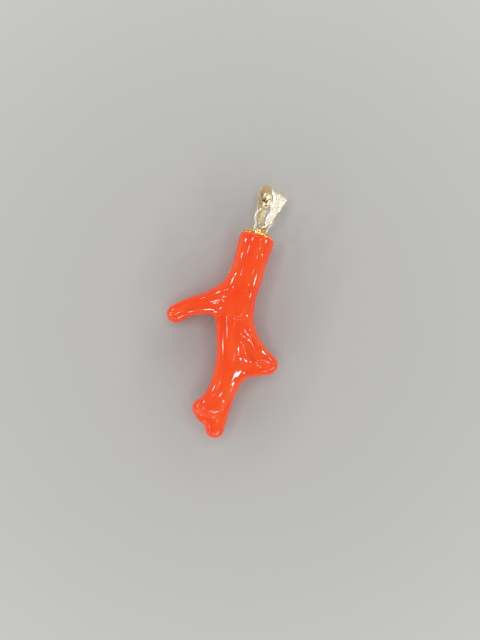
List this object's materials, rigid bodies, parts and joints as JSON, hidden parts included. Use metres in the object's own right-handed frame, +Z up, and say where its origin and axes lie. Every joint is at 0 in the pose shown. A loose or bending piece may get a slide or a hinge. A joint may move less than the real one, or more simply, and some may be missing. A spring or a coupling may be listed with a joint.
{
  "type": "coral branch pendant",
  "caption": "Polished red coral branch with a long arm, a short spur and a raised stub, capped in gold and hung on a loose tapered bail.",
  "frame": {"origin": "bottom centre of the pendant's box, on the surface it lies on", "axes": "+Z up off the surface, +Y along the coral's stem towards the cap and the bail, +X towards the short spur's side"},
  "size_m": [0.0264, 0.0565, 0.0078],
  "materials": {
    "coral": "gloss",
    "gold": "gloss",
    "white_gold": "gloss"
  },
  "bodies": {
    "coral_and_cap": {"coral_stem": "coral", "coral_long_branch": "coral", "coral_short_branch": "coral", "coral_end_stub": "coral", "end_cap": "gold"},
    "bail": {"bail": "white_gold"}
  },
  "joints": [
    {"name": "bail_swing", "type": "hinge", "parent": "coral_and_cap", "child": "bail", "pos_m": [0.00385, 0.0233, 0.00382], "axis": [0.813, -0.0998, -0.5736], "range_deg": [-80, 80]}
  ]
}
